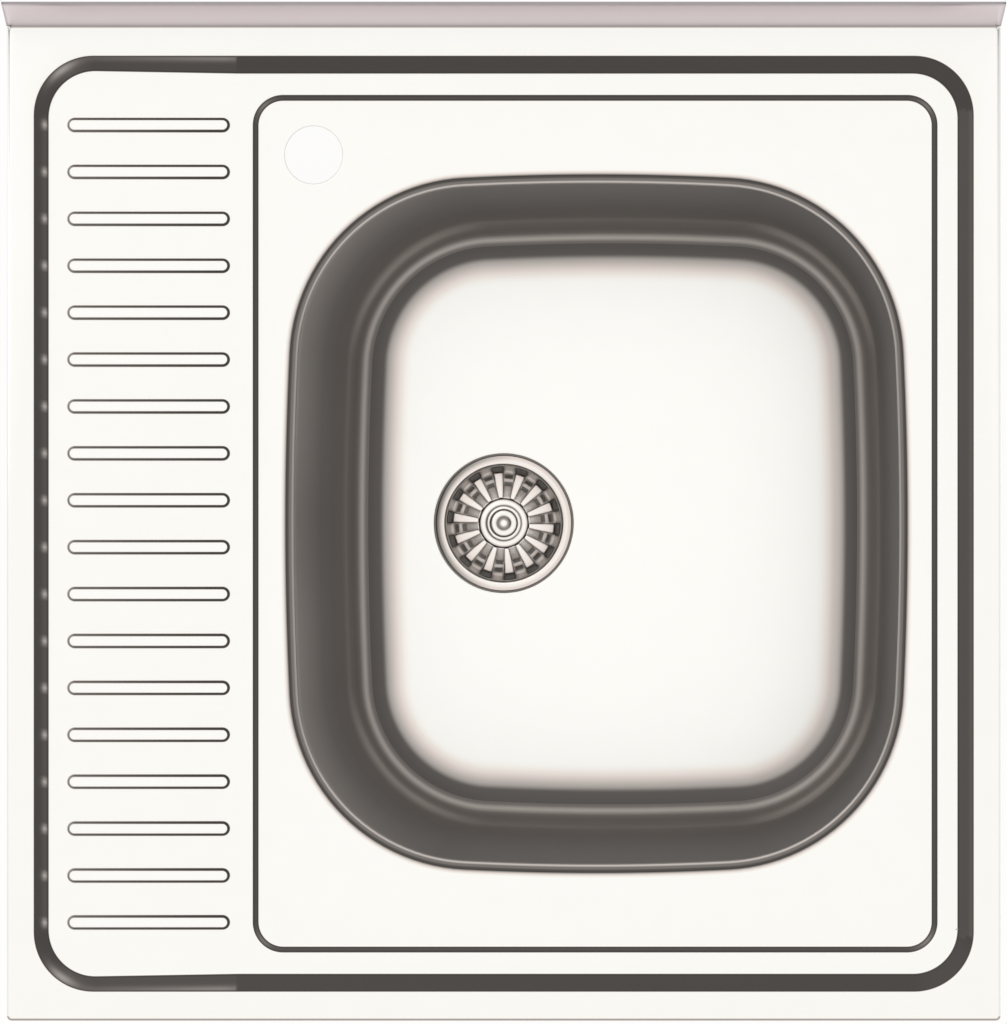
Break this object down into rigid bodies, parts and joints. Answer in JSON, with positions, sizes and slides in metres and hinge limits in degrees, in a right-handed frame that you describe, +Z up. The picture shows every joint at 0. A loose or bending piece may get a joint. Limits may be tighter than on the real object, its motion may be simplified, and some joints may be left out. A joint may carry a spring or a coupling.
{
  "type": "kitchen sink with drainboard",
  "caption": "Square lay-on stainless steel kitchen sink: rounded bowl on the right, ribbed drainboard on the left, tap hole, rear upstand and basket strainer waste.",
  "frame": {"origin": "centre of the 600 x 600 mm outline, in the plane of the folded lip that rests on the cabinet", "axes": "+X to the right seen from the front, +Y back towards the wall and the upstand, +Z up"},
  "size_m": [0.6, 0.6127, 0.2658],
  "materials": {
    "brushed_steel": "satin stainless steel, finely brushed",
    "polished_steel": "bright polished stainless steel",
    "zinc_steel": "zinc plated steel",
    "brass": "turned brass",
    "seal_rubber": "black moulded rubber",
    "damping_pad": "dark grey bituminous damping sheet",
    "white_plastic": "moulded white polypropylene"
  },
  "bodies": {
    "root": {"deck_sheet": "brushed_steel", "bowl": "brushed_steel", "rear_rail": "brushed_steel", "drainboard_stiffener": "brushed_steel", "strainer_cup": "polished_steel", "bracket_front_left": "zinc_steel", "bracket_front_right": "zinc_steel", "bracket_rear_left": "zinc_steel", "bracket_rear_right": "zinc_steel", "bracket_screws": "zinc_steel", "earth_tag": "zinc_steel", "earth_screw": "zinc_steel", "earth_nut": "zinc_steel", "clamp_screw": "zinc_steel", "clamp_insert": "brass", "flange_seal": "seal_rubber", "floor_gasket": "seal_rubber", "drainboard_pad_left": "damping_pad", "drainboard_pad_right": "damping_pad", "bowl_damping_pad": "damping_pad", "waste_body": "white_plastic"},
    "waste_plug": {"basket_stem": "polished_steel", "stem_clip": "polished_steel", "rubber_stopper": "seal_rubber"},
    "strainer_basket": {"basket": "polished_steel", "basket_knob": "polished_steel"}
  },
  "joints": [
    {"name": "basket_lift", "type": "slide", "parent": "root", "child": "waste_plug", "axis": [0, 0, 1], "range_m": [0, 0.08]},
    {"name": "basket_spin", "type": "hinge", "parent": "waste_plug", "child": "strainer_basket", "pos_m": [0, 0, -0.145], "axis": [0, 0, 1], "continuous": true}
  ]
}
